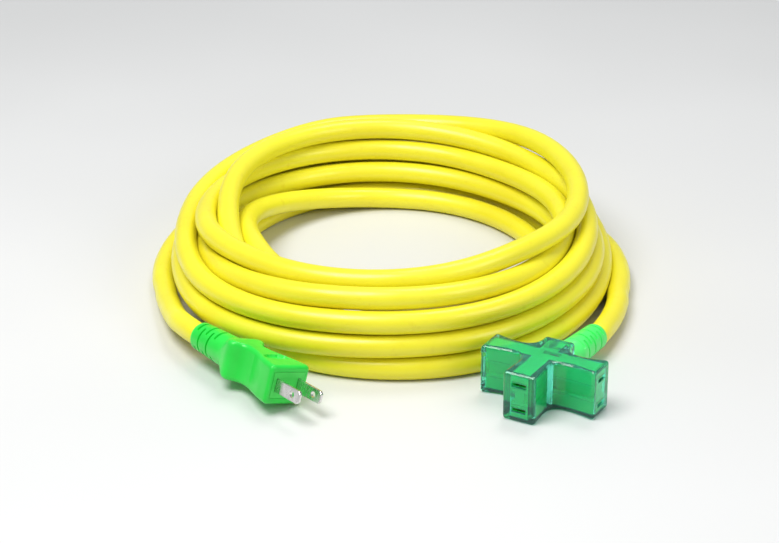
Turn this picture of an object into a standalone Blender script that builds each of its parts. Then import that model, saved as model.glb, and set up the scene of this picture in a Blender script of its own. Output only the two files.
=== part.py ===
"""Extension cord: moulded two-blade plug, coiled round cable and a clear three-way tap.

Metres, +Z up. The origin is on the surface that the cord lies on, midway between the plug
and the tap. The plug's blades and the tap's front outlet face roughly -Y, and the coil lies
behind them at +Y.
"""

import math

import bmesh
import bpy
from mathutils import Vector

MM = 0.001
GAP = 0.3 * MM  # clearance between pieces that touch

# Cable
CABLE_R = 5.6 * MM
CORE_R = 1.7 * MM
STRAND_R = 0.95 * MM
CORE_OFFSET = 1.85 * MM  # each core's distance from the cable's axis

# Blades and outlets of the two-blade 15 A pattern
BLADE_PITCH = 12.7 * MM
BLADE_WIDTH = 6.3 * MM
BLADE_THICKNESS = 1.5 * MM
BLADE_LENGTH = 17.3 * MM
BLADE_HOLE_Y = -11.9 * MM
BLADE_HOLE_R = 1.5 * MM
CRIMP_X = 5.3 * MM  # each plug crimp's distance from the middle
SLOT_WIDTH = 7.4 * MM
SLOT_HEIGHT = 2.3 * MM

# Plug, in its own frame: X across the blades, Y from the front face to the cable, Z up
PLUG_PLACE = (-51.1 * MM, -22.2 * MM, 12.9 * MM)
PLUG_ROLL = math.radians(17.8)
PLUG_YAW = math.radians(39.9)
PLUG_HEIGHT = 19.0 * MM
PLUG_HALF_WIDTH = 11.6 * MM
PLUG_WAIST = 5.3 * MM
PLUG_FLANGE = 10.2 * MM
PLUG_FLANGE_Y = (32.5 * MM, 36.5 * MM)
PLUG_GUARD_END = 68.0 * MM
PLUG_GUARD_R = (8.0 * MM, 6.9 * MM)
PLUG_EDGE = 2.0 * MM
PLUG_BLOCK = (18.4 * MM, 9.5 * MM, 12.6 * MM)
PLUG_GUARD_SLOTS_TOP = (50.5 * MM, 57.5 * MM, 64.5 * MM)
PLUG_GUARD_SLOTS_SIDE = (54.0 * MM, 61.0 * MM)
DISH_Y = 12.6 * MM  # the oval dish in the plug's top
DISH_HALF = (6.7 * MM, 2.9 * MM)
DISH_DEPTH = 0.9 * MM

# Tap, in its own frame: X towards the right outlet, Y towards the cable, Z up from mid-height
TAP_HALF_HEIGHT = 12.2 * MM
TAP_PLACE = (67.1 * MM, -11.5 * MM, TAP_HALF_HEIGHT)
TAP_YAW = math.radians(-30.0)
TAP_SIDE_REACH = 29.3 * MM
TAP_FRONT_REACH = 26.2 * MM
TAP_REAR_REACH = 17.0 * MM
TAP_END_HALF = 8.3 * MM
TAP_NECK_HALF = 7.8 * MM
TAP_EDGE = 1.7 * MM
TAP_FACE_WALL = 1.5 * MM
CARRIER_HALF = 4.2 * MM
CARRIER_TOP = 10.2 * MM
CARRIER_BASE = 4.3 * MM
CARRIER_REAR = 7.0 * MM
CARRIER_WALL = 0.8 * MM
POCKET_TOP = 8.5 * MM
CAVITY_REAR = 14.0 * MM
BUS_Z = BLADE_PITCH / 2
BUS_HALF = 2.4 * MM
BUS_THICKNESS = 0.8 * MM
CLIP_LENGTH = 12.0 * MM
CLIP_WIDTH = 6.2 * MM
CLIP_MOUTH = 1.0 * MM  # the clip's mouth behind the carrier's end wall
TAP_GUARD_END = 56.0 * MM
TAP_GUARD_R = (6.6 * MM, 7.3 * MM, 6.5 * MM)
TAP_GUARD_DROOP = math.radians(4.0)
TAP_GUARD_RIBS = 7

# Cord
COIL_CENTRE = (-1.9 * MM, 128.5 * MM)
COIL_STRETCH = 1.085  # the coil is a little longer in Y than in X
# The coil's outer shape across its turns, as (radius in X, height) in mm
COIL_PROFILE = ((108, 0), (113, 5), (114.7, 14), (113, 28), (108, 39), (99, 47), (89, 46), (79, 40))
COIL_PROFILE += ((73.5, 28), (73, 9), (76, 0))
COIL_STEPS = 72
# Each free end's route on the surface, as (x, y, height of the cable's axis) in mm
PLUG_TAIL = ((-105.4, 47.4, 11.4), (-109.5, 59.5, 9.0), (-114.3, 78.5, 6.6))
TAP_TAIL = ((104.6, 60.5, 7.1), (109.0, 77.5, 6.2))
STRAIGHT = 9 * MM  # each free end leaves its guard straight for this far
TAIL_SAMPLES = 14

GREEN = (0.03, 0.62, 0.13, 1.0)
CLEAR_GREEN = (0.05, 0.55, 0.35, 0.35)
BRIGHT_GREEN = (0.10, 0.75, 0.28, 1.0)
YELLOW = (0.95, 0.78, 0.06, 1.0)


def clear_scene():
    for obj in list(bpy.data.objects):
        bpy.data.objects.remove(obj, do_unlink=True)


def new_collection(name):
    collection = bpy.data.collections.new(name)
    bpy.context.scene.collection.children.link(collection)
    return collection


clear_scene()
PARTS = new_collection("extension_cord")
CUTTERS = new_collection("cutters")


def material(name, colour, roughness, metallic=0.0):
    made = bpy.data.materials.new(name)
    made.use_nodes = True
    made.diffuse_color = colour
    shader = made.node_tree.nodes["Principled BSDF"]
    shader.inputs["Base Color"].default_value = colour
    shader.inputs["Roughness"].default_value = roughness
    shader.inputs["Metallic"].default_value = metallic
    shader.inputs["Alpha"].default_value = colour[3]
    return made


def frame_empty(name, place, rotation):
    empty = bpy.data.objects.new(name, None)
    empty.location = place
    empty.rotation_euler = rotation
    PARTS.objects.link(empty)
    return empty


def new_object(name, mesh, parent, cutter=False):
    obj = bpy.data.objects.new(name, mesh)
    (CUTTERS if cutter else PARTS).objects.link(obj)
    obj.parent = parent
    if cutter:
        obj.hide_render = True
        obj.display_type = "WIRE"
    return obj


def colour_it(obj, surface):
    obj.data.materials.append(surface)
    obj.data.shade_smooth()
    obj.data.set_sharp_from_angle(angle=math.radians(35))
    return obj


def box(name, low, high, parent, cutter=False):
    """A box between two corners given in the parent's frame."""
    mesh = bpy.data.meshes.new(name)
    bm = bmesh.new()
    bmesh.ops.create_cube(bm, size=1.0)
    size = [h - l for l, h in zip(low, high)]
    middle = [(h + l) / 2 for l, h in zip(low, high)]
    bmesh.ops.scale(bm, vec=size, verts=bm.verts)
    bmesh.ops.translate(bm, vec=middle, verts=bm.verts)
    bm.to_mesh(mesh)
    bm.free()
    return new_object(name, mesh, parent, cutter)


def rod(name, start, end, radius, parent, sides=16, end_radius=None, cutter=False):
    """A round bar or cone from start to end."""
    start = Vector(start)
    end = Vector(end)
    mesh = bpy.data.meshes.new(name)
    bm = bmesh.new()
    tip = radius if end_radius is None else end_radius
    bmesh.ops.create_cone(
        bm, cap_ends=True, segments=sides, radius1=radius, radius2=tip, depth=(end - start).length
    )
    turn = Vector((0, 0, 1)).rotation_difference(end - start)
    bmesh.ops.rotate(bm, cent=(0, 0, 0), matrix=turn.to_matrix(), verts=bm.verts)
    bmesh.ops.translate(bm, vec=(start + end) / 2, verts=bm.verts)
    bm.to_mesh(mesh)
    bm.free()
    return new_object(name, mesh, parent, cutter)


def weld(mesh):
    """Join a curve's loose caps to its sides."""
    bm = bmesh.new()
    bm.from_mesh(mesh)
    bmesh.ops.remove_doubles(bm, verts=bm.verts, dist=0.001 * MM)
    bm.to_mesh(mesh)
    bm.free()


def merge_caps(mesh):
    """Make each flat end of an extruded outline one face."""
    bm = bmesh.new()
    bm.from_mesh(mesh)
    for level in (min(v.co.z for v in bm.verts), max(v.co.z for v in bm.verts)):
        cap = [f for f in bm.faces if all(abs(v.co.z - level) < 0.001 * MM for v in f.verts)]
        bmesh.ops.dissolve_faces(bm, faces=cap)
    bmesh.ops.recalc_face_normals(bm, faces=bm.faces)
    bm.to_mesh(mesh)
    bm.free()


def mesh_from_curve(name, curve, matrix_parent, cutter):
    holder = bpy.data.objects.new(name + "_curve", curve)
    PARTS.objects.link(holder)
    bpy.context.view_layer.update()
    shape = holder.evaluated_get(bpy.context.evaluated_depsgraph_get())
    mesh = bpy.data.meshes.new_from_object(shape)
    mesh.name = name
    bpy.data.objects.remove(holder)
    weld(mesh)
    return new_object(name, mesh, matrix_parent, cutter)


def slab(name, outline, bottom, top, parent, cutter=False):
    """A flat outline in the XY plane, filled and extruded from bottom to top."""
    curve = bpy.data.curves.new(name, "CURVE")
    curve.dimensions = "2D"
    curve.fill_mode = "BOTH"
    curve.extrude = (top - bottom) / 2
    spline = curve.splines.new("POLY")
    spline.points.add(len(outline) - 1)
    for point, (x, y) in zip(spline.points, outline):
        point.co = (x, y, 0, 1)
    spline.use_cyclic_u = True
    obj = mesh_from_curve(name, curve, parent, cutter)
    merge_caps(obj.data)
    for vertex in obj.data.vertices:
        vertex.co.z += (top + bottom) / 2
    return obj


def wire(name, points, radius, parent, resolution=2):
    """A round wire through points that already lie on a smooth route."""
    curve = bpy.data.curves.new(name, "CURVE")
    curve.dimensions = "3D"
    curve.bevel_depth = radius
    curve.bevel_resolution = resolution
    curve.use_fill_caps = True
    spline = curve.splines.new("POLY")
    spline.points.add(len(points) - 1)
    for point, place in zip(spline.points, points):
        point.co = (*place, 1)
    return mesh_from_curve(name, curve, parent, False)


def turned(name, profile, parent, steps):
    """A turned ring from a closed profile of (radius, along)."""
    mesh = bpy.data.meshes.new(name)
    count = len(profile)
    links = [(i, (i + 1) % count) for i in range(count)]
    mesh.from_pydata([(r, 0, z) for r, z in profile], links, [])
    obj = new_object(name, mesh, parent)
    screw = obj.modifiers.new("turn", "SCREW")
    screw.steps = steps
    screw.render_steps = steps
    screw.use_merge_vertices = True
    screw.merge_threshold = 0.001 * MM
    return obj


def bevel(obj, width, segments=2, angle=30):
    modifier = obj.modifiers.new("edges", "BEVEL")
    modifier.width = width
    modifier.segments = segments
    modifier.limit_method = "ANGLE"
    modifier.angle_limit = math.radians(angle)


def boolean(obj, other, operation):
    modifier = obj.modifiers.new(operation.lower(), "BOOLEAN")
    modifier.operation = operation
    modifier.object = other
    modifier.solver = "EXACT"


def smooth_route(anchors, count):
    """Points on a smooth curve through the anchors, evenly shared between its spans."""
    ends = [2 * anchors[0] - anchors[1], 2 * anchors[-1] - anchors[-2]]
    knots = [ends[0], *anchors, ends[1]]
    spans = len(anchors) - 1
    route = []
    for i in range(count + 1):
        u = spans * i / count
        k = min(int(u), spans - 1)
        t = u - k
        a, b, c, d = knots[k : k + 4]
        bent = 2 * a - 5 * b + 4 * c - d
        twisted = 3 * b - a - 3 * c + d
        route.append(0.5 * (2 * b + (c - a) * t + bent * t**2 + twisted * t**3))
    return route


def bezier(a, b, c, d, count):
    """Points of a cubic curve in the plane, without its last point."""
    points = []
    for i in range(count):
        t = i / count
        s = 1 - t
        weights = (s**3, 3 * s * s * t, 3 * s * t * t, t**3)
        points.append(tuple(sum(w * p[k] for w, p in zip(weights, (a, b, c, d))) for k in (0, 1)))
    return points


def mirrored(half):
    """A closed outline from its +X half, listed from the lowest Y to the highest."""
    return half + [(-x, y) for x, y in reversed(half)]


SKIN_GREEN = material("green_moulding", GREEN, 0.38)
SKIN_CLEAR = material("clear_green_moulding", CLEAR_GREEN, 0.08)
INNER_GREEN = material("inner_green", BRIGHT_GREEN, 0.45)
SHEATH = material("yellow_sheath", YELLOW, 0.42)
NICKEL = material("nickel_plate", (0.78, 0.76, 0.74, 1.0), 0.22, 1.0)
BRASS = material("brass", (0.80, 0.62, 0.28, 1.0), 0.3, 1.0)
COPPER = material("copper_strands", (0.82, 0.42, 0.25, 1.0), 0.35, 1.0)
BLACK = material("black_core", (0.02, 0.02, 0.02, 1.0), 0.5)
WHITE = material("white_core", (0.85, 0.85, 0.83, 1.0), 0.5)
LAMP_GLASS = material("lamp_glass", (0.75, 0.32, 0.12, 1.0), 0.1)
RESISTOR = material("resistor", (0.72, 0.60, 0.42, 1.0), 0.5)


# Plug ----------------------------------------------------------------------------------------

plug = frame_empty("plug_frame", PLUG_PLACE, (0, PLUG_ROLL, PLUG_YAW))


def plug_outline():
    """Half-width along the plug: tapering body, finger waist, flange."""
    front, rear = PLUG_FLANGE_Y
    half = [(PLUG_HALF_WIDTH, 0)]
    shoulder = (PLUG_HALF_WIDTH - 0.4 * MM, 3 * MM)
    waist = (PLUG_WAIST, 28.5 * MM)
    half += bezier(shoulder, (8.6 * MM, 14 * MM), (PLUG_WAIST, 22 * MM), waist, 7)
    half += bezier(waist, (PLUG_WAIST, front), (PLUG_WAIST, front), (PLUG_FLANGE, front), 5)
    half += [(PLUG_FLANGE, front), (PLUG_FLANGE, rear)]
    return mirrored(half)


def plug_chamber():
    """The hollow behind the block, where the cores run from the blades to the cable."""
    half = [(7.4 * MM, 0), (7.4 * MM, 16.2 * MM), (3.9 * MM, 25 * MM), (3.9 * MM, 37.5 * MM)]
    return slab("plug_chamber", mirrored(half), -3.4 * MM, 3.4 * MM, plug, cutter=True)


def make_plug_body():
    body = slab("plug_body", plug_outline(), -PLUG_HEIGHT / 2, PLUG_HEIGHT / 2, plug)
    bevel(body, PLUG_EDGE, 2)
    root, end = PLUG_GUARD_R
    start = PLUG_FLANGE_Y[0] + 1.0 * MM
    guard = rod("plug_guard_form", (0, start, 0), (0, PLUG_GUARD_END, 0), root, plug, 28, end, cutter=True)
    boolean(body, guard, "UNION")
    boolean(body, plug_chamber(), "DIFFERENCE")
    wide, deep, tall = (s / 2 + GAP for s in PLUG_BLOCK)
    seat = box("plug_block_seat", (-wide, -MM, -tall), (wide, 2 * deep, tall), plug, cutter=True)
    boolean(body, seat, "DIFFERENCE")
    ends = ((0, 36 * MM, 0), (0, 70 * MM, 0))
    bore = rod("plug_cable_bore", *ends, CABLE_R + GAP, plug, 20, cutter=True)
    boolean(body, bore, "DIFFERENCE")
    cut_depth = PLUG_GUARD_R[1] - 0.6 * MM
    wide = 6 * MM
    thin = 0.5 * MM
    for side in (-1, 1):
        low, high = sorted((side * cut_depth, side * 12 * MM))
        for i, y in enumerate(PLUG_GUARD_SLOTS_TOP):
            corners = ((-wide, y - thin, low), (wide, y + thin, high))
            boolean(body, box(f"guard_slot_z{i}{side}", *corners, plug, cutter=True), "DIFFERENCE")
        for i, y in enumerate(PLUG_GUARD_SLOTS_SIDE):
            corners = ((low, y - thin, -wide), (high, y + thin, wide))
            boolean(body, box(f"guard_slot_x{i}{side}", *corners, plug, cutter=True), "DIFFERENCE")
    dish = rod("plug_top_dish", (0, 0, -MM), (0, 0, MM), MM, plug, 24, cutter=True)
    dish.location = (0, DISH_Y, PLUG_HEIGHT / 2)
    dish.scale = (DISH_HALF[0] / MM, DISH_HALF[1] / MM, DISH_DEPTH / MM)
    boolean(body, dish, "DIFFERENCE")
    colour_it(body, SKIN_GREEN)


def make_plug_block():
    """The stiff bridge that holds both blades, flush in the plug's front face."""
    wide, deep, tall = (s / 2 for s in PLUG_BLOCK)
    block = box("plug_inner_block", (-wide, 0, -tall), (wide, 2 * deep, tall), plug)
    for side in (-1, 1):
        x = side * BLADE_PITCH / 2
        half = BLADE_THICKNESS / 2 + 0.1 * MM
        hole = box(
            f"blade_way_{side}",
            (x - half, -MM, -BLADE_WIDTH / 2 - 0.1 * MM),
            (x + half, 12 * MM, BLADE_WIDTH / 2 + 0.1 * MM),
            plug,
            cutter=True,
        )
        boolean(block, hole, "DIFFERENCE")
    colour_it(block, SKIN_GREEN)


def make_blade(name, side):
    """A flat blade with its hole, cropped tip and the crimp barrel that grips the core."""
    x = side * BLADE_PITCH / 2
    half = BLADE_WIDTH / 2
    crop = 1.3 * MM
    back = 10.4 * MM
    tip = -BLADE_LENGTH
    outline = [(-half, back), (-half, tip + crop), (-half + crop, tip)]
    outline += [(half - crop, tip), (half, tip + crop), (half, back)]
    blade = slab(name, outline, -BLADE_THICKNESS / 2, BLADE_THICKNESS / 2, plug)
    for vertex in blade.data.vertices:
        across, along, thick = vertex.co
        vertex.co = (x + thick, along, -across)
    bevel(blade, 0.25 * MM, 1)
    hole = rod(
        name + "_hole",
        (x - 2 * MM, BLADE_HOLE_Y, 0),
        (x + 2 * MM, BLADE_HOLE_Y, 0),
        BLADE_HOLE_R,
        plug,
        20,
        cutter=True,
    )
    boolean(blade, hole, "DIFFERENCE")
    x = side * CRIMP_X
    barrel = rod(name + "_barrel", (x, 9.8 * MM, 0), (x, 15.3 * MM, 0), 1.75 * MM, plug, 16, cutter=True)
    boolean(blade, barrel, "UNION")
    bore = rod(name + "_bore", (x, 10.9 * MM, 0), (x, 17 * MM, 0), 1.2 * MM, plug, 12, cutter=True)
    boolean(blade, bore, "DIFFERENCE")
    colour_it(blade, NICKEL)


def make_plug_cores(colour, surface, side):
    x = side * CRIMP_X
    bare = [Vector((x, y * MM, 0)) for y in (11.2, 15.7)]
    strands = wire(f"plug_strands_{colour}", bare, STRAND_R, plug, 2)
    strands.data.materials.append(COPPER)
    near = side * CORE_OFFSET
    bends = ((x, 16.0), (x * 0.8, 18.4), (near * 1.35, 23.0), (near * 1.04, 27.5), (near, 31.0), (near, 36.6))
    anchors = [Vector((across, along * MM, 0)) for across, along in bends]
    core = wire(f"plug_core_{colour}", smooth_route(anchors, 12), CORE_R, plug, 2)
    colour_it(core, surface)


def make_plug():
    make_plug_body()
    make_plug_block()
    make_blade("plug_blade_left", -1)
    make_blade("plug_blade_right", 1)
    make_plug_cores("black", BLACK, -1)
    make_plug_cores("white", WHITE, 1)
    sheath = rod("plug_cable_end", (0, 37 * MM, 0), (0, PLUG_GUARD_END, 0), CABLE_R, plug, 20)
    colour_it(sheath, SHEATH)


make_plug()


# Tap -----------------------------------------------------------------------------------------

tap = frame_empty("tap_frame", TAP_PLACE, (0, 0, TAP_YAW))


def tap_outline():
    """The tap seen from above: three outlet arms that flare to their faces, and the cable neck."""
    end = TAP_END_HALF
    neck = (TAP_NECK_HALF, 13 * MM)
    corner = (TAP_SIDE_REACH - 2.4 * MM, end - 0.5 * MM)
    half = [(end, -TAP_FRONT_REACH)]
    side = (TAP_SIDE_REACH, -end)
    half += bezier((7.4 * MM, -14.5 * MM), (7 * MM, -4.8 * MM), (12 * MM, -4.2 * MM), side, 10)
    half += [side, (TAP_SIDE_REACH, end)]
    half += bezier(corner, (15 * MM, 4 * MM), (7.9 * MM, 5.5 * MM), neck, 9)
    half += [neck, (TAP_NECK_HALF, TAP_REAR_REACH)]
    return mirrored(half)


def cross_outline(half, side_reach, front_reach, rear_reach):
    """A plain cross: two side arms, a front arm and a short rear arm of one half-width."""
    quarter = [(half, -front_reach), (half, -half), (side_reach, -half), (side_reach, half)]
    quarter += [(half, half), (half, rear_reach)]
    return mirrored(quarter)


CARRIER_SIDE = TAP_SIDE_REACH - TAP_FACE_WALL - GAP
CARRIER_FRONT = TAP_FRONT_REACH - TAP_FACE_WALL - GAP


def outlet_slots(obj, prefix, levels, depth):
    """Cut the blade slots of the three outlets, at the given heights, inwards by depth."""
    wide = SLOT_WIDTH / 2
    tall = SLOT_HEIGHT / 2
    for level in levels:
        for side in (-1, 1):
            near = side * (TAP_SIDE_REACH + MM)
            far = side * (TAP_SIDE_REACH - depth)
            low, high = sorted((near, far))
            cutter = box(
                f"{prefix}_side_slot_{side}_{level:.4f}",
                (low, -wide, level - tall),
                (high, wide, level + tall),
                tap,
                cutter=True,
            )
            boolean(obj, cutter, "DIFFERENCE")
        cutter = box(
            f"{prefix}_front_slot_{level:.4f}",
            (-wide, -TAP_FRONT_REACH - MM, level - tall),
            (wide, -TAP_FRONT_REACH + depth, level + tall),
            tap,
            cutter=True,
        )
        boolean(obj, cutter, "DIFFERENCE")


def guard_point(distance):
    """A place on the tap guard's axis, which droops towards the surface."""
    past = distance - CAVITY_REAR
    return Vector((0, CAVITY_REAR + past * math.cos(TAP_GUARD_DROOP), -past * math.sin(TAP_GUARD_DROOP)))


def make_tap_shell():
    shell = slab("tap_shell", tap_outline(), -TAP_HALF_HEIGHT, TAP_HALF_HEIGHT, tap)
    bevel(shell, TAP_EDGE, 3)
    cavity = cross_outline(CARRIER_HALF + GAP, CARRIER_SIDE + GAP, CARRIER_FRONT + GAP, CAVITY_REAR)
    tall = CARRIER_TOP + GAP
    boolean(shell, slab("tap_cavity", cavity, -tall, tall, tap, cutter=True), "DIFFERENCE")
    neck = rod(
        "tap_neck_bore",
        guard_point(CAVITY_REAR - MM),
        guard_point(TAP_REAR_REACH + 2 * MM),
        TAP_GUARD_R[0] + GAP,
        tap,
        28,
        cutter=True,
    )
    boolean(shell, neck, "DIFFERENCE")
    outlet_slots(shell, "shell", (-BUS_Z, BUS_Z), TAP_FACE_WALL + 0.5 * MM)
    colour_it(shell, SKIN_CLEAR)


def make_carrier(name, side):
    """A tray that holds one pole's bus strip and clips, open towards the barrier."""
    low, high = sorted((side * CARRIER_BASE, side * CARRIER_TOP))
    outline = cross_outline(CARRIER_HALF, CARRIER_SIDE, CARRIER_FRONT, CARRIER_REAR)
    tray = slab(name, outline, low, high, tap)
    wall = CARRIER_WALL
    inside = cross_outline(CARRIER_HALF - wall, CARRIER_SIDE - wall, CARRIER_FRONT - wall, CARRIER_REAR + MM)
    low, high = sorted((side * (CARRIER_BASE - MM), side * POCKET_TOP))
    boolean(tray, slab(name + "_pocket", inside, low, high, tap, cutter=True), "DIFFERENCE")
    outlet_slots(tray, name, (side * BUS_Z,), TAP_FACE_WALL + 2 * MM)
    if side > 0:
        corners = ((-1.6 * MM, 0.6 * MM, POCKET_TOP - MM), (7 * MM, 3.8 * MM, 12 * MM))
        boolean(tray, box("lamp_window", *corners, tap, cutter=True), "DIFFERENCE")
    colour_it(tray, INNER_GREEN)


def make_barrier():
    """The I-shaped insulating spine that closes both trays and keeps the poles apart."""
    flange = 4.0 * MM
    outline = cross_outline(CARRIER_HALF, CARRIER_SIDE, CARRIER_FRONT, CARRIER_REAR)
    spine = slab("tap_barrier", outline, -flange, flange, tap)
    web = 2.2 * MM
    groove = 2.8 * MM
    ways = cross_outline(CARRIER_HALF + MM, CARRIER_SIDE + MM, CARRIER_FRONT + MM, CARRIER_REAR + MM)
    keep = cross_outline(web, CARRIER_SIDE + 2 * MM, CARRIER_FRONT + 2 * MM, CARRIER_REAR + 2 * MM)
    cutter = slab("barrier_groove", ways, -groove, groove, tap, cutter=True)
    boolean(cutter, slab("barrier_web", keep, -groove - MM, groove + MM, tap, cutter=True), "DIFFERENCE")
    boolean(spine, cutter, "DIFFERENCE")
    ends = ((9 * MM, 2.95 * MM, -5 * MM), (9 * MM, 2.95 * MM, 5 * MM))
    boolean(spine, rod("barrier_lead_way", *ends, 0.55 * MM, tap, 12, cutter=True), "DIFFERENCE")
    colour_it(spine, INNER_GREEN)


def bus_outline():
    reach = CARRIER_SIDE - CARRIER_WALL - CLIP_MOUTH - CLIP_LENGTH - GAP
    front = CARRIER_FRONT - CARRIER_WALL - CLIP_MOUTH - CLIP_LENGTH - GAP
    return cross_outline(BUS_HALF, reach, front, 3.0 * MM)


def make_bus(name, side):
    """A flat strip to all three clips, with the crimp barrel that grips the supply core."""
    z = side * BUS_Z
    strip = slab(name, bus_outline(), z - BUS_THICKNESS / 2, z + BUS_THICKNESS / 2, tap)
    barrel = rod(name + "_barrel", (0, 2.6 * MM, z), (0, 7.6 * MM, z), 1.65 * MM, tap, 16, cutter=True)
    boolean(strip, barrel, "UNION")
    bore = rod(name + "_bore", (0, 3.4 * MM, z), (0, 9 * MM, z), 1.2 * MM, tap, 12, cutter=True)
    boolean(strip, bore, "DIFFERENCE")
    colour_it(strip, BRASS)


def clip_profile():
    """Side view of a folded clip, from its mouth at 0 to its back, as (along, height)."""
    back = CLIP_LENGTH
    upper = [(0, 1.9), (3, 1.3), (8, 1.45), (back / MM, 1.45)]
    inner = [(back / MM - 0.6, 0.85), (8, 0.85), (3, 0.65), (0, 1.3)]
    outline = [*upper, *[(u, -v) for u, v in reversed(upper)]]
    outline += [(u, -v) for u, v in reversed(inner)]
    outline += inner
    return [(u * MM, v * MM) for u, v in outline]


def make_clip(name, level, direction):
    """A pair of spring leaves that grip one blade. direction is the outlet's outward axis."""
    clip = slab(name, clip_profile(), -CLIP_WIDTH / 2, CLIP_WIDTH / 2, tap)
    reach = CARRIER_FRONT if direction[0] == 0 else CARRIER_SIDE
    mouth = reach - CARRIER_WALL - CLIP_MOUTH
    out = Vector((direction[0], direction[1], 0))
    across = Vector((-out.y, out.x, 0))
    for vertex in clip.data.vertices:
        along, height, side = vertex.co
        vertex.co = out * (mouth - along) + across * side + Vector((0, 0, level + height))
    bm = bmesh.new()
    bm.from_mesh(clip.data)
    bmesh.ops.recalc_face_normals(bm, faces=bm.faces)
    bm.to_mesh(clip.data)
    bm.free()
    colour_it(clip, BRASS)


def make_lamp():
    """The neon pilot lamp under the clear top, its resistor and their leads."""
    ends = ((1.3 * MM, 2.4 * MM, 8.7 * MM), (5.9 * MM, 2.4 * MM, 8.7 * MM))
    lamp = rod("tap_pilot_lamp", *ends, 1.1 * MM, tap, 16)
    bevel(lamp, 0.5 * MM, 2)
    colour_it(lamp, LAMP_GLASS)
    short = [(1.0, 2.4, 8.8), (0.5, 2.1, 8.8), (-0.3, 1.5, 8.4), (-0.9, 1.2, 7.8), (-1.1, 1.1, 7.15)]
    lead = wire("tap_lamp_lead_short", smooth_route([Vector(p) * MM for p in short], 10), 0.22 * MM, tap, 1)
    lead.data.materials.append(COPPER)
    upper = [(6.2, 2.4, 8.6), (6.9, 2.6, 7.9), (8.6, 2.95, 6.6), (9.0, 2.95, 4.6), (9.0, 2.95, 2.4)]
    lead = wire("tap_lamp_lead_upper", smooth_route([Vector(p) * MM for p in upper], 12), 0.22 * MM, tap, 1)
    lead.data.materials.append(COPPER)
    ends = ((9 * MM, 3.2 * MM, -2.1 * MM), (9 * MM, 3.2 * MM, 2.1 * MM))
    resistor = rod("tap_lamp_resistor", *ends, 0.75 * MM, tap, 12)
    bevel(resistor, 0.2 * MM, 1)
    colour_it(resistor, RESISTOR)
    lower = [(9.0, 2.95, -2.4), (9.0, 2.95, -4.6), (8.6, 2.6, -5.4), (8.0, 1.8, -5.65)]
    lead = wire("tap_lamp_lead_lower", smooth_route([Vector(p) * MM for p in lower], 10), 0.22 * MM, tap, 1)
    lead.data.materials.append(COPPER)


def guard_profile():
    """Ribbed taper of the tap's cord guard, as (radius, along) in its own frame, end to root."""
    root, belly, end = TAP_GUARD_R
    length = TAP_GUARD_END - CAVITY_REAR - GAP
    ribs_from = 16.5 * MM
    pitch = (length - ribs_from) / TAP_GUARD_RIBS
    points = [(end, length)]
    for i in range(TAP_GUARD_RIBS):
        top = length - i * pitch
        share = i / (TAP_GUARD_RIBS - 1)
        radius = end + (belly - end) * share
        points += [(radius, top - 0.55 * pitch), (radius - 0.55 * MM, top - 0.7 * pitch)]
        points.append((radius - 0.55 * MM, top - 0.95 * pitch))
        points.append((radius + 0.03 * MM, top - pitch))
    points += [(root, 12 * MM), (root, GAP)]
    return points


def make_tap_guard():
    length = TAP_GUARD_END - CAVITY_REAR - GAP
    inner = CABLE_R + 0.25 * MM
    profile = [*guard_profile(), (inner, GAP), (inner, length)]
    guard = turned("tap_cord_guard", profile, tap, 28)
    guard.location = (0, CAVITY_REAR, 0)
    guard.rotation_euler = (-math.pi / 2 - TAP_GUARD_DROOP, 0, 0)
    colour_it(guard, INNER_GREEN)


def make_tap_cores(colour, surface, side):
    z = side * BUS_Z
    bare = [Vector((0, y * MM, z)) for y in (3.7, 8.1)]
    strands = wire(f"tap_strands_{colour}", bare, STRAND_R, tap, 2)
    strands.data.materials.append(COPPER)
    near = side * CORE_OFFSET
    bends = ((8.5, z), (9.6, z * 0.94), (13.4, near * 1.35), (15.6, near), (18.2, near * 1.03))
    anchors = [Vector((0, along * MM, height)) for along, height in bends]
    for anchor in anchors[2:]:
        anchor.z += guard_point(anchor.y).z
    core = wire(f"tap_core_{colour}", smooth_route(anchors, 12), CORE_R, tap, 2)
    colour_it(core, surface)


def make_tap():
    make_tap_shell()
    make_carrier("tap_carrier_upper", 1)
    make_carrier("tap_carrier_lower", -1)
    make_barrier()
    make_bus("tap_bus_upper", 1)
    make_bus("tap_bus_lower", -1)
    for place, direction in (("front", (0, -1)), ("left", (-1, 0)), ("right", (1, 0))):
        make_clip(f"tap_clip_{place}_upper", BUS_Z, direction)
        make_clip(f"tap_clip_{place}_lower", -BUS_Z, direction)
    make_lamp()
    make_tap_guard()
    make_tap_cores("black", BLACK, 1)
    make_tap_cores("white", WHITE, -1)
    sheath = rod("tap_cable_end", guard_point(18.8 * MM), guard_point(TAP_GUARD_END), CABLE_R, tap, 20)
    colour_it(sheath, SHEATH)


make_tap()


# Cord ----------------------------------------------------------------------------------------


def make_coil():
    """The closed outer shape of the coiled turns."""
    profile = [(r * MM, z * MM) for r, z in reversed(COIL_PROFILE)]
    ring = turned("cord_coil", profile, None, COIL_STEPS)
    ring.location = (*COIL_CENTRE, 0)
    ring.scale = (1, COIL_STRETCH, 1)
    colour_it(ring, SHEATH)


def make_tail(name, parent, end, outward, route):
    """A free end of the cable, from its guard's mouth to where it joins the coil."""
    bpy.context.view_layer.update()
    start = parent.matrix_world @ end
    heading = (parent.matrix_world @ (end + outward) - start).normalized()
    anchors = [start + heading * GAP, start + heading * STRAIGHT]
    anchors += [Vector(p) * MM for p in route]
    tail = wire(name, smooth_route(anchors, TAIL_SAMPLES), CABLE_R, None, 3)
    colour_it(tail, SHEATH)


make_coil()
make_tail("cord_tail_plug", plug, Vector((0, PLUG_GUARD_END, 0)), Vector((0, MM, 0)), PLUG_TAIL)
tap_mouth = guard_point(TAP_GUARD_END)
make_tail("cord_tail_tap", tap, tap_mouth, tap_mouth - guard_point(TAP_GUARD_END - MM), TAP_TAIL)
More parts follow.
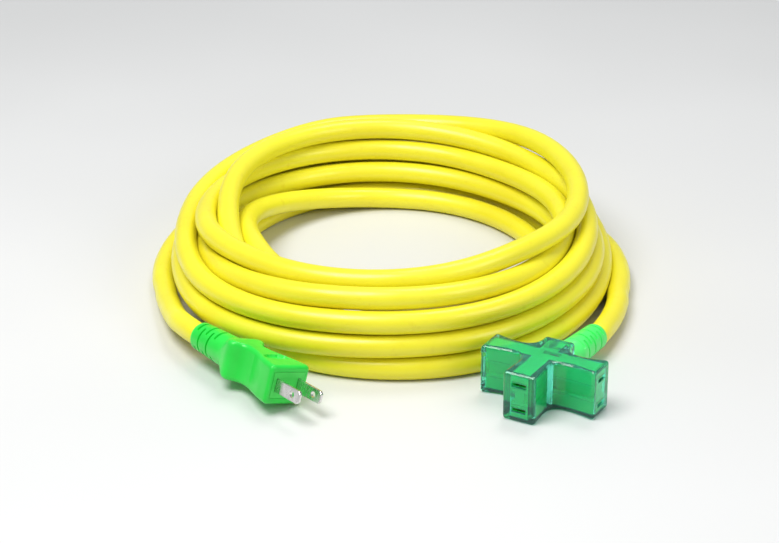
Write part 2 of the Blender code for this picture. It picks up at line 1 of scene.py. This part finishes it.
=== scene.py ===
"""Looks of the extension cord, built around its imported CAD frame.

Metres, +Z up, in the same frame as the CAD: the origin is on the surface, midway between
the plug and the tap. The sheathed cable is one curve, wound turn by turn and then settled
so that its turns lie beside and on each other a diameter apart.
"""

import math

import bmesh
import bpy
import numpy as np
from mathutils import Euler, Matrix, Vector


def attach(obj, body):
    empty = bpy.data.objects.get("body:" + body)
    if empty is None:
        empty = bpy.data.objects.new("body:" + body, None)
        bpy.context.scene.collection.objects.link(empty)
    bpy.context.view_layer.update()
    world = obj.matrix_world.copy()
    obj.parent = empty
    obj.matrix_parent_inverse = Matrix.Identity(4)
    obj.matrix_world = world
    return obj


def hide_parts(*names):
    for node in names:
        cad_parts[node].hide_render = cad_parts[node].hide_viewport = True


MM = 0.001
FULL_TURN = 2 * math.pi

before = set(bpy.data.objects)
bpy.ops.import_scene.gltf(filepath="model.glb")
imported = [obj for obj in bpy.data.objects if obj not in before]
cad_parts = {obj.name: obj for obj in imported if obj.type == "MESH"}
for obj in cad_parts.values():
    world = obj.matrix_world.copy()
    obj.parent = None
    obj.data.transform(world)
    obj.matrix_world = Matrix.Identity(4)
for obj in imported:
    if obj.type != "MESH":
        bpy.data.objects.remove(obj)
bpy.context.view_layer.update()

# Cable
CABLE_R = 5.6 * MM
CABLE_D = 2 * CABLE_R
GAP = 0.3 * MM

# Plug, in its own frame: X across the blades, Y from the front face to the cable, Z up
PLUG_PLACE = Vector((-51.1, -22.2, 12.9)) * MM
PLUG_ROLL = math.radians(17.8)
PLUG_YAW = math.radians(39.9)
PLUG_GUARD_END = 68.0 * MM

# Tap, in its own frame: X towards the right outlet, Y towards the cable, Z up from mid-height
TAP_PLACE = Vector((67.1, -11.5, 12.2)) * MM
TAP_YAW = math.radians(-30.0)
TAP_NECK_Y = 14.0 * MM
TAP_GUARD_END = 56.0 * MM
TAP_GUARD_DROOP = math.radians(4.0)

PLUG_FRAME = Matrix.Translation(PLUG_PLACE) @ Euler((0, PLUG_ROLL, PLUG_YAW)).to_matrix().to_4x4()
TAP_FRAME = Matrix.Translation(TAP_PLACE) @ Matrix.Rotation(TAP_YAW, 4, "Z")


# Small tools ---------------------------------------------------------------------------------


def smoothstep(edge0, edge1, x):
    t = min(max((x - edge0) / (edge1 - edge0), 0.0), 1.0)
    return t * t * (3 - 2 * t)


def add_object(name, data, material):
    obj = bpy.data.objects.new(name, data)
    bpy.context.scene.collection.objects.link(obj)
    data.materials.append(material)
    return obj


def catmull_rom(knots, per_span):
    """Smooth samples through the knots, per_span to each span, with the last knot at the end."""
    knots = np.asarray(knots, float)
    padded = np.vstack([2 * knots[0] - knots[1], knots, 2 * knots[-1] - knots[-2]])
    samples = []
    for k in range(len(knots) - 1):
        a, b, c, d = padded[k : k + 4]
        for i in range(per_span):
            t = i / per_span
            bent = 2 * a - 5 * b + 4 * c - d
            twisted = 3 * b - a - 3 * c + d
            samples.append(0.5 * (2 * b + (c - a) * t + bent * t**2 + twisted * t**3))
    samples.append(knots[-1])
    return np.array(samples)


def rounded_section(half_width, half_height, corner, count):
    """Evenly spaced points round a rounded rectangle, from the middle of its +X side."""
    corner = min(corner, half_width, half_height)
    flat_x = half_width - corner
    flat_z = half_height - corner
    quarter = math.pi / 2 * corner
    runs = (flat_z, quarter, 2 * flat_x, quarter, 2 * flat_z, quarter, 2 * flat_x, quarter, flat_z)
    centres = ((flat_x, flat_z), (-flat_x, flat_z), (-flat_x, -flat_z), (flat_x, -flat_z))
    starts = ((half_width, 0), (flat_x, half_height), (-half_width, flat_z))
    starts += ((-flat_x, -half_height), (half_width, -flat_z))
    ways = ((0, 1), (-1, 0), (0, -1), (1, 0), (0, 1))
    total = sum(runs)
    points = []
    for i in range(count):
        left = total * i / count
        run = 0
        while run < len(runs) - 1 and left > runs[run]:
            left -= runs[run]
            run += 1
        side = run // 2
        if run % 2:
            angle = math.pi / 2 * side + left / corner
            cx, cz = centres[side]
            points.append((cx + corner * math.cos(angle), cz + corner * math.sin(angle)))
        else:
            (x, z), (dx, dz) = starts[side], ways[side]
            points.append((x + dx * left, z + dz * left))
    return points


def loft(name, rings, matrix, material):
    """A closed skin through rings of equal count, each a list of points, with both ends filled."""
    count = len(rings[0])
    bm = bmesh.new()
    rows = [[bm.verts.new(p) for p in ring] for ring in rings]
    for low, high in zip(rows, rows[1:]):
        for i in range(count):
            j = (i + 1) % count
            bm.faces.new((low[i], low[j], high[j], high[i]))
    bm.faces.new(rows[0])
    bm.faces.new(rows[-1])
    bmesh.ops.recalc_face_normals(bm, faces=bm.faces)
    bm.transform(matrix)
    mesh = bpy.data.meshes.new(name)
    bm.to_mesh(mesh)
    bm.free()
    mesh.shade_smooth()
    mesh.set_sharp_from_angle(angle=math.radians(38))
    return add_object(name, mesh, material)


# Materials -----------------------------------------------------------------------------------


class Surface:
    """A material whose colour, roughness and fine relief come from procedural nodes."""

    def __init__(self, name, roughness=0.4, metallic=0.0):
        self.material = bpy.data.materials.new(name)
        self.material.use_nodes = True
        self.nodes = self.material.node_tree.nodes
        self.links = self.material.node_tree.links
        self.shader = self.nodes["Principled BSDF"]
        self.set("Roughness", roughness)
        self.set("Metallic", metallic)
        self.place = self.nodes.new("ShaderNodeTexCoord").outputs["Object"]
        self.relief = None

    def set(self, socket, value):
        self.shader.inputs[socket].default_value = value
        return self

    def noise(self, scale, detail=2.0, stretch=(1, 1, 1)):
        mapping = self.nodes.new("ShaderNodeMapping")
        mapping.inputs["Scale"].default_value = stretch
        noise = self.nodes.new("ShaderNodeTexNoise")
        noise.inputs["Scale"].default_value = scale
        noise.inputs["Detail"].default_value = detail
        self.links.new(self.place, mapping.inputs["Vector"])
        self.links.new(mapping.outputs["Vector"], noise.inputs["Vector"])
        return noise.outputs["Fac"]

    def between(self, factor, low, high, source=(0.35, 0.65)):
        """Map a factor to a number."""
        node = self.nodes.new("ShaderNodeMapRange")
        node.inputs["From Min"].default_value = source[0]
        node.inputs["From Max"].default_value = source[1]
        node.inputs["To Min"].default_value = low
        node.inputs["To Max"].default_value = high
        self.links.new(factor, node.inputs["Value"])
        return node.outputs["Result"]

    def mix(self, factor, first, second):
        """Blend two colours, each a tuple or a socket."""
        node = self.nodes.new("ShaderNodeMix")
        node.data_type = "RGBA"
        self.links.new(factor, node.inputs["Factor"])
        for index, colour in ((6, first), (7, second)):
            if isinstance(colour, tuple):
                node.inputs[index].default_value = (*colour, 1.0)
            else:
                self.links.new(colour, node.inputs[index])
        return node.outputs[2]

    def worn(self, colour, lighter, low=0.51, high=0.58):
        """Rub convex edges lighter."""
        geometry = self.nodes.new("ShaderNodeNewGeometry")
        factor = self.between(geometry.outputs["Pointiness"], 0.0, 0.8, (low, high))
        return self.mix(factor, colour, lighter)

    def colour(self, value):
        self.links.new(value, self.shader.inputs["Base Color"])
        return self

    def roughness(self, value):
        self.links.new(value, self.shader.inputs["Roughness"])
        return self

    def bump(self, height, strength, distance):
        node = self.nodes.new("ShaderNodeBump")
        node.inputs["Strength"].default_value = strength
        node.inputs["Distance"].default_value = distance
        self.links.new(height, node.inputs["Height"])
        if self.relief is not None:
            self.links.new(self.relief, node.inputs["Normal"])
        self.relief = node.outputs["Normal"]
        self.links.new(self.relief, self.shader.inputs["Normal"])
        return self


def sheath_material():
    """Yellow vinyl sheath: nearly even colour, faint handling marks and an extruded skin."""
    s = Surface("yellow_vinyl", 0.38)
    base = s.mix(s.between(s.noise(14, 3), 0, 1), (0.86, 0.76, 0.020), (0.92, 0.86, 0.034))
    marks = s.between(s.noise(230, 5), 0.0, 0.35, (0.60, 0.80))
    s.colour(s.mix(marks, base, (0.72, 0.58, 0.014)))
    s.roughness(s.between(s.noise(95, 3), 0.30, 0.44))
    s.bump(s.noise(900, 2), 0.12, 0.06 * MM)
    s.bump(s.noise(60, 2), 0.10, 0.5 * MM)
    s.set("Subsurface Weight", 0.12)
    s.set("Subsurface Scale", 1.5 * MM)
    s.set("Subsurface Radius", (1.0, 0.9, 0.15))
    s.set("Coat Weight", 0.18)
    s.set("Coat Roughness", 0.22)
    return s.material


def moulding_material(name, deep, light, rough=(0.30, 0.42)):
    """Green moulded vinyl with rubbed edges and a fine spark-eroded grain."""
    s = Surface(name, 0.36)
    base = s.mix(s.between(s.noise(45, 3), 0, 1), deep, light)
    s.colour(s.worn(base, tuple(min(1.0, c * 1.25 + 0.04) for c in light)))
    s.roughness(s.between(s.noise(160, 4), *rough))
    s.bump(s.noise(1400, 2), 0.15, 0.05 * MM)
    s.set("Subsurface Weight", 0.10)
    s.set("Subsurface Scale", 1.2 * MM)
    s.set("Subsurface Radius", (0.2, 1.0, 0.3))
    s.set("Coat Weight", 0.15)
    s.set("Coat Roughness", 0.25)
    return s.material


def clear_material():
    """Clear green moulding: transmits light, with faint flow marks."""
    s = Surface("clear_green", 0.06)
    s.colour(s.mix(s.between(s.noise(30, 2), 0, 1), (0.14, 0.92, 0.62), (0.18, 0.96, 0.70)))
    s.roughness(s.between(s.noise(120, 3), 0.03, 0.10))
    s.bump(s.noise(40, 2), 0.08, 0.5 * MM)
    s.set("Transmission Weight", 0.92)
    s.set("IOR", 1.47)
    return s.material


def metal_material(name, base, dark, roughness=(0.16, 0.34), stretch=(1, 1, 1)):
    """Plated or bare metal with fine brushing and slight tarnish."""
    s = Surface(name, 0.25, 1.0)
    s.colour(s.mix(s.between(s.noise(260, 4, stretch), 0, 1), base, dark))
    s.roughness(s.between(s.noise(700, 3, stretch), *roughness))
    s.bump(s.noise(1600, 2, stretch), 0.12, 0.03 * MM)
    return s.material


def plain_material(name, low, high, roughness=(0.4, 0.55)):
    s = Surface(name, 0.5)
    s.colour(s.mix(s.between(s.noise(120, 3), 0, 1), low, high))
    s.roughness(s.between(s.noise(200, 2), *roughness))
    s.bump(s.noise(900, 2), 0.1, 0.05 * MM)
    return s.material


YELLOW = sheath_material()
GREEN = moulding_material("green_vinyl", (0.010, 0.64, 0.045), (0.018, 0.76, 0.065))
# A darker copy of the plug's green for its inner block: painted shade of the plug's front face, not a
# different green
BRIDGE_GREEN_PAINTED_SHADE = moulding_material("green_bridge_painted_shade", (0.006, 0.50, 0.030), (0.010, 0.58, 0.040), (0.40, 0.52))
BRIGHT_GREEN = moulding_material("bright_green", (0.06, 0.86, 0.14), (0.10, 0.94, 0.20))
CLEAR = clear_material()
NICKEL = metal_material("nickel", (0.80, 0.78, 0.76), (0.66, 0.64, 0.62), stretch=(1, 1, 0.2))
BRASS = metal_material("brass_strip", (0.78, 0.60, 0.26), (0.60, 0.43, 0.17))
COPPER = metal_material("copper", (0.80, 0.42, 0.25), (0.60, 0.28, 0.15))
BLACK = plain_material("black_insulation", (0.012, 0.012, 0.012), (0.03, 0.03, 0.03))
WHITE = plain_material("white_insulation", (0.74, 0.74, 0.70), (0.84, 0.84, 0.81))
LAMP = plain_material("lamp", (0.55, 0.16, 0.04), (0.72, 0.30, 0.10), (0.08, 0.16))
RESISTOR = plain_material("resistor_paint", (0.62, 0.50, 0.33), (0.72, 0.60, 0.42))


# Cable ---------------------------------------------------------------------------------------

COIL_CENTRE = (-8.4 * MM, 125.7 * MM)
PER_TURN = 96
# Where each turn lies in the bundle, as (radius, height) in mm, where it passes the left,
# the back, the right and the front of the coil. It is wound clockwise seen from above.
TURNS = (
    ((112.5, 5.6), (115.5, 17), (109, 24.5), (116, 17)),
    ((100.5, 17), (120.5, 28), (112, 15.5), (117, 5.6)),
    ((79, 5.6), (108.3, 5.6), (99.5, 7), (104, 17)),
    ((77, 41), (113.3, 43.5), (103.5, 34), (115.4, 28.5)),
    ((95.5, 31), (122, 40), (99.5, 45.5), (96, 43)),
    ((87.5, 38), (109.5, 31.5), (93, 35), (111, 38.5)),
    ((90, 25), (104.7, 20), (95, 21), (91, 30)),
    ((68, 32), (97, 5.6), (85.5, 5.6), (105.5, 8)),
    ((99, 7), (119.6, 5.6), (119, 5.6)),
)
# Beyond its turns the cord swings out to the plug and to the tap
JOIN_SAMPLES = 6  # samples to each span of the free ends, and how far they reach into the coil
SWING_IN = (120, 5.6)
SWING_OUT = (126, 5.6)
LEAD_SAMPLES = 4  # samples of the coil kept before its first and after its last station
# Each free end's route on the surface, as (x, y, height of the cable's axis) in mm
PLUG_TAIL = ((-105.4, 47.4, 11.4), (-109.5, 59.5, 9.0), (-114.3, 78.5, 6.6))
TAP_TAIL = ((104.6, 60.5, 7.1), (109.0, 77.5, 6.2))
STRAIGHT = 6 * MM  # each free end leaves its guard straight for this far


SPACING = CABLE_D * 1.03
ROUNDS = 900
PULL = 0.05  # share of the way back to its wanted place that each sample moves at first
STIFFNESS = 0.9
SMOOTHING = 0.08
FALL = 0.01 * MM  # how far the samples sink in each round


def settle(wanted):
    """Push the turns a diameter apart, station by station, keeping each one smooth.

    wanted holds (radius, height) samples along the cord, PER_TURN to each turn, so that
    samples a whole number of turns apart share one upright plane through the coil's axis.
    """
    count = len(wanted)
    first, second = [], []
    for apart in range(1, math.ceil(count / PER_TURN)):
        step = apart * PER_TURN
        first.append(np.arange(count - step))
        second.append(np.arange(step, count))
    first = np.concatenate(first)
    second = np.concatenate(second)
    place = wanted.copy()
    for done in range(ROUNDS):
        place -= (place - wanted) * PULL * (1 - done / ROUNDS)
        for _ in range(2):
            stiff = np.zeros_like(place)
            ends = place[4:] + place[:-4]
            stiff[2:-2] = (4 * (place[3:-1] + place[1:-3]) - 6 * place[2:-2] - ends) / 16
            slack = np.zeros_like(place)
            slack[1:-1] = (place[2:] + place[:-2]) / 2 - place[1:-1]
            place += STIFFNESS * stiff + SMOOTHING * slack
        place[:, 1] -= FALL
        for _ in range(4):
            across = place[second] - place[first]
            distance = np.maximum(np.hypot(across[:, 0], across[:, 1]), 1e-9)
            slope = np.gradient(place, axis=0) / (place[:, :1] * FULL_TURN / PER_TURN)
            climb = ((slope[first] + slope[second]) / 2 * across).sum(axis=1) / distance
            room = SPACING * np.sqrt(1 + climb**2)
            close = distance < room
            push = across[close] * ((room - distance) / distance / 2)[close, None]
            move = np.zeros_like(place)
            touches = np.zeros(count)
            for end, way in ((second, 1), (first, -1)):
                np.add.at(move, end[close], way * push)
                np.add.at(touches, end[close], 1)
            place += move / np.sqrt(np.maximum(touches, 1))[:, None]
            place[:, 1] = np.maximum(place[:, 1], CABLE_R)
    return place


def coil_points():
    per_quarter = PER_TURN // 4
    stations = [SWING_IN, *(p for turn in TURNS for p in turn), SWING_OUT]
    wanted = catmull_rom(np.array(stations) * MM, per_quarter)
    cut = per_quarter - LEAD_SAMPLES
    settled = settle(wanted[cut:-cut])
    angle = math.pi - FULL_TURN * (np.arange(len(settled)) - LEAD_SAMPLES) / PER_TURN
    return np.stack(
        [
            COIL_CENTRE[0] + settled[:, 0] * np.cos(angle),
            COIL_CENTRE[1] + settled[:, 0] * np.sin(angle),
            settled[:, 1],
        ],
        axis=1,
    )


def guard_point(distance):
    """A place on the tap guard's axis, which droops towards the surface."""
    past = distance - TAP_NECK_Y
    return Vector((0, TAP_NECK_Y + past * math.cos(TAP_GUARD_DROOP), -past * math.sin(TAP_GUARD_DROOP)))


def cable_route():
    """The whole centreline, from the plug guard's mouth round the coil to the tap guard's."""
    plug_mouth = PLUG_FRAME @ Vector((0, PLUG_GUARD_END, 0))
    plug_way = (PLUG_FRAME.to_3x3() @ Vector((0, 1, 0))).normalized()
    tap_mouth = TAP_FRAME @ guard_point(TAP_GUARD_END)
    tap_way = (TAP_FRAME @ guard_point(TAP_GUARD_END + MM) - tap_mouth).normalized()
    coil = coil_points()
    start = [plug_mouth + plug_way * GAP, plug_mouth + plug_way * STRAIGHT]
    start += [Vector(p) * MM for p in PLUG_TAIL]
    end = [Vector(p) * MM for p in reversed(TAP_TAIL)]
    end += [tap_mouth + tap_way * STRAIGHT, tap_mouth + tap_way * GAP]
    reach = JOIN_SAMPLES
    lead = catmull_rom([*start, coil[0], coil[reach]], reach)[:-reach]
    trail = catmull_rom([coil[-1 - reach], coil[-1], *end], reach)[reach:]
    return np.vstack([lead[:-1], coil, trail[1:]])


def make_cable():
    route = cable_route()
    curve = bpy.data.curves.new("cable", "CURVE")
    curve.dimensions = "3D"
    curve.bevel_depth = CABLE_R
    curve.bevel_resolution = 7
    curve.use_fill_caps = True
    spline = curve.splines.new("POLY")
    spline.points.add(len(route) - 1)
    for point, place in zip(spline.points, route):
        point.co = (*place, 1)
    spline.use_smooth = True
    length = float(np.linalg.norm(np.diff(route, axis=0), axis=1).sum())
    return add_object("cable", curve, YELLOW), route, length


cable, cable_line, cable_length = make_cable()


# Plug ----------------------------------------------------------------------------------------

PLUG_HALF_HEIGHT = 9.5 * MM
PLUG_EDGE = 1.8 * MM
AROUND = 160
PLUG_BORE_START = 36.6 * MM
SLOT_FLOOR = CABLE_R + 0.35 * MM  # the guards' slots stop short of the cable
PLUG_BLOCK = (9.2 * MM, 6.3 * MM, 9.5 * MM)  # half-width, half-height, depth of the bridge
TOP_SLOTS = (50.5 * MM, 57.5 * MM, 64.5 * MM)
SIDE_SLOTS = (54.0 * MM, 61.0 * MM)
DISH_Y = 12.6 * MM
DISH_HALF = (6.7 * MM, 2.9 * MM)


def plug_width(y):
    """Half-width along the plug: body, finger waist, flange, and the flare to the guard."""
    knots = ((0, 11.6), (3, 11.2), (9, 9.9), (15, 7.9), (20, 6.0), (25, 5.3), (28, 5.4), (30.5, 6.6))
    knots += ((32.3, 9.4), (33.5, 10.2), (36.0, 10.2), (38.0, 9.6), (41.0, 8.6), (45.0, 8.0), (68.0, 6.9))
    y = y / MM
    for (y0, w0), (y1, w1) in zip(knots, knots[1:]):
        if y <= y1:
            return (w0 + (w1 - w0) * (y - y0) / (y1 - y0)) * MM
    return knots[-1][1] * MM


def plug_ring(y):
    """One cross-section of the plug's moulding, with the guard's slots and the top dish."""
    round_share = smoothstep(35.0 * MM, 44.0 * MM, y)
    spread = 1.2 * MM
    width = sum(plug_width(y + k * spread / 4) for k in range(-4, 5)) / 9
    guard_r = plug_width(max(y, 45.0 * MM))
    height = PLUG_HALF_HEIGHT + (guard_r - PLUG_HALF_HEIGHT) * round_share
    corner = 2.2 * MM + (guard_r - 2.2 * MM) * round_share
    inset = 0.0
    if y < PLUG_EDGE:
        inset = PLUG_EDGE - math.sqrt(max(PLUG_EDGE**2 - (PLUG_EDGE - y) ** 2, 0.0))
    end_round = 1.0 * MM
    if y > PLUG_GUARD_END - end_round:
        past = y - PLUG_GUARD_END + end_round
        inset = end_round - math.sqrt(max(end_round**2 - past**2, 0.0))
    ring = []
    for x, z in rounded_section(width - inset, height - inset, corner, AROUND):
        radius = math.hypot(x, z)
        cut = 0.0
        if y > 46 * MM:
            lean = abs(z) / radius
            for slot in TOP_SLOTS:
                cut = max(cut, slot_depth(y - slot) * smoothstep(0.55, 0.62, lean))
            lean = abs(x) / radius
            for slot in SIDE_SLOTS:
                cut = max(cut, slot_depth(y - slot) * smoothstep(0.55, 0.62, lean))
        cut = min(cut, guard_r - SLOT_FLOOR)
        factor = 1 - cut / radius
        drop = 0.0
        if z > height - inset - 0.01 * MM:
            reach = math.hypot(x / DISH_HALF[0], (y - DISH_Y) / DISH_HALF[1])
            drop = 1.4 * MM * (1 - smoothstep(0.88, 1.0, reach))
        ring.append((x * factor, y, z * factor - drop))
    return ring


def slot_depth(offset):
    """Depth of a guard slot at a distance from its middle."""
    return 1.9 * MM * (1 - smoothstep(0.40 * MM, 0.62 * MM, abs(offset)))


def section_ring(y, half_width, half_height, corner):
    return [(x, y, z) for x, z in rounded_section(half_width, half_height, corner, AROUND)]


def make_plug_skin():
    wide, tall, deep = PLUG_BLOCK
    places = [PLUG_EDGE * (1 - math.cos(math.pi / 2 * i / 6)) for i in range(7)]
    places += list(np.arange(PLUG_EDGE + 0.45 * MM, 46 * MM, 0.45 * MM))
    places += list(np.arange(46 * MM, PLUG_GUARD_END - 1.0 * MM, 0.2 * MM))
    places += [PLUG_GUARD_END - MM * math.cos(math.pi / 2 * i / 5) for i in range(6)]
    gap = 0.12 * MM
    seat = [section_ring(y, wide + gap, tall + gap, 0.4 * MM) for y in (deep + gap, 0.1 * MM)]
    seat += [section_ring(0, wide + gap + 0.1 * MM, tall + gap + 0.1 * MM, 0.5 * MM)]
    bore = CABLE_R + 0.15 * MM
    chamfer = 0.3 * MM
    wide_bore = bore + chamfer
    mouth = [section_ring(PLUG_GUARD_END, wide_bore, wide_bore, wide_bore)]
    mouth += [section_ring(y, bore, bore, bore) for y in (PLUG_GUARD_END - chamfer, PLUG_BORE_START)]
    rings = seat + [plug_ring(y) for y in places] + mouth
    return loft("plug_moulding", rings, PLUG_FRAME, GREEN)


plug_skin = make_plug_skin()


# Tap -----------------------------------------------------------------------------------------

TAP_GUARD_R = (6.6 * MM, 7.3 * MM, 6.5 * MM)
GUARD_AROUND = 96
TAP_SLOTS = 7
TAP_SLOT_PITCH = 3.6 * MM
TAP_SLOT_FIRST = 3.4 * MM  # from the guard's mouth to the middle of its first slot


def tap_guard_radius(y):
    root, belly, end = TAP_GUARD_R
    if y < 12 * MM:
        return root
    share = smoothstep(12 * MM, 16 * MM, y)
    length = TAP_GUARD_END - TAP_NECK_Y
    taper = belly + (end - belly) * max(0.0, (y - 16 * MM) / (length - 16 * MM))
    return root + (taper - root) * share


def guard_ring(y, length):
    """A cross-section of the tap's cord guard with its staggered slots."""
    radius = tap_guard_radius(y)
    end_round = 0.9 * MM
    if y > length - end_round:
        past = y - length + end_round
        radius -= end_round - math.sqrt(max(end_round**2 - past**2, 0.0))
    ring = []
    for i in range(GUARD_AROUND):
        angle = FULL_TURN * i / GUARD_AROUND
        cut = 0.0
        for k in range(TAP_SLOTS):
            middle = length - TAP_SLOT_FIRST - k * TAP_SLOT_PITCH
            facing = abs(math.sin(angle)) if k % 2 == 0 else abs(math.cos(angle))
            cut = max(cut, slot_depth(y - middle) * smoothstep(0.50, 0.60, facing))
        cut = min(cut, max(0.0, radius - SLOT_FLOOR))
        ring.append(((radius - cut) * math.cos(angle), y, (radius - cut) * math.sin(angle)))
    return ring


def bore_ring(y, radius):
    angles = [FULL_TURN * i / GUARD_AROUND for i in range(GUARD_AROUND)]
    return [(radius * math.cos(a), y, radius * math.sin(a)) for a in angles]


def make_tap_guard():
    length = TAP_GUARD_END - TAP_NECK_Y
    bore = CABLE_R + 0.15 * MM
    places = list(np.arange(GAP, 18 * MM, 0.8 * MM)) + list(np.arange(18 * MM, length - MM, 0.2 * MM))
    places += [length - 0.9 * MM * math.cos(math.pi / 2 * i / 4) for i in range(5)]
    rings = [bore_ring(4 * MM, bore), bore_ring(GAP, bore)]
    rings += [guard_ring(y, length) for y in places]
    rings += [bore_ring(length, bore), bore_ring(4.5 * MM, bore)]
    place = TAP_FRAME @ Matrix.Translation((0, TAP_NECK_Y, 0)) @ Matrix.Rotation(-TAP_GUARD_DROOP, 4, "X")
    return loft("tap_guard", rings, place, BRIGHT_GREEN)


tap_guard = make_tap_guard()


# Carried-over CAD nodes ----------------------------------------------------------------------

FINISHES = {
    "plug_inner_block": BRIDGE_GREEN_PAINTED_SHADE,
    "plug_blade": NICKEL,
    "plug_cable_end": YELLOW,
    "tap_cable_end": YELLOW,
    "tap_carrier": BRIGHT_GREEN,
    "tap_barrier": BRIGHT_GREEN,
    "tap_bus": BRASS,
    "tap_clip": BRASS,
    "tap_lamp_lead": COPPER,
    "tap_lamp_resistor": RESISTOR,
    "tap_pilot_lamp": LAMP,
    "tap_shell": CLEAR,
}


def finish_of(name):
    if "strands" in name:
        return COPPER
    if name.endswith("core_black"):
        return BLACK
    if name.endswith("core_white"):
        return WHITE
    return next((m for start, m in FINISHES.items() if name.startswith(start)), None)


for name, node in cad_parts.items():
    finish = finish_of(name)
    if finish is not None:
        node.data.materials.clear()
        node.data.materials.append(finish)


# Stage ---------------------------------------------------------------------------------------


def make_floor():
    mesh = bpy.data.meshes.new("floor")
    bm = bmesh.new()
    bmesh.ops.create_grid(bm, x_segments=8, y_segments=8, size=4.0)
    bm.to_mesh(mesh)
    bm.free()
    s = Surface("floor_paper", 0.55)
    s.colour(s.mix(s.between(s.noise(3, 2), 0, 1), (0.70, 0.70, 0.69), (0.74, 0.74, 0.73)))
    floor = add_object("floor", mesh, s.material)
    return floor


def area_light(name, place, target, size, power, colour=(1, 1, 1)):
    data = bpy.data.lights.new(name, "AREA")
    data.shape = "DISK"
    data.size = size
    data.energy = power
    data.color = colour
    light = bpy.data.objects.new(name, data)
    bpy.context.scene.collection.objects.link(light)
    light.location = place
    light.rotation_euler = (Vector(target) - Vector(place)).to_track_quat("-Z", "Y").to_euler()
    return light


def make_world():
    world = bpy.data.worlds.new("studio")
    world.use_nodes = True
    world.node_tree.nodes["Background"].inputs["Color"].default_value = (0.93, 0.96, 1.0, 1.0)
    world.node_tree.nodes["Background"].inputs["Strength"].default_value = 0.36
    bpy.context.scene.world = world


LOOK_AT = Vector((-4.4, 133.7, 0)) * MM
CAMERA_ELEVATION = math.radians(24.22)
CAMERA_DISTANCE = 1189 * MM
CAMERA_LENS = 104.95


def make_camera():
    data = bpy.data.cameras.new("camera")
    data.lens = CAMERA_LENS
    data.sensor_width = 36.0
    data.sensor_fit = "HORIZONTAL"
    data.clip_start = 0.05
    data.clip_end = 20.0
    camera = bpy.data.objects.new("camera", data)
    bpy.context.scene.collection.objects.link(camera)
    away = Vector((0, -math.cos(CAMERA_ELEVATION), math.sin(CAMERA_ELEVATION)))
    camera.location = LOOK_AT + away * CAMERA_DISTANCE
    camera.rotation_euler = (math.pi / 2 - CAMERA_ELEVATION, 0, 0)
    bpy.context.scene.camera = camera
    bpy.context.scene.view_settings.view_transform = "Standard"


make_world()
area_light("key", (-0.35, -0.25, 1.05), (0, 0.08, 0), 0.7, 11)
area_light("fill", (0.9, -0.5, 0.7), (0, 0.08, 0), 0.6, 3.2)
area_light("rim", (0.3, 0.7, 1.5), (0, 0.12, 0), 0.6, 6)
make_camera()
floor = make_floor()


# Hand over -----------------------------------------------------------------------------------

for piece, nodes, slot in (
    (cable, ("cord_coil", "cord_tail_plug", "cord_tail_tap"), "yellow_sheath"),
    (plug_skin, ("plug_body",), "green_moulding"),
    (tap_guard, ("tap_cord_guard",), "inner_green"),
):
    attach(piece, "root")
    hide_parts(*nodes)
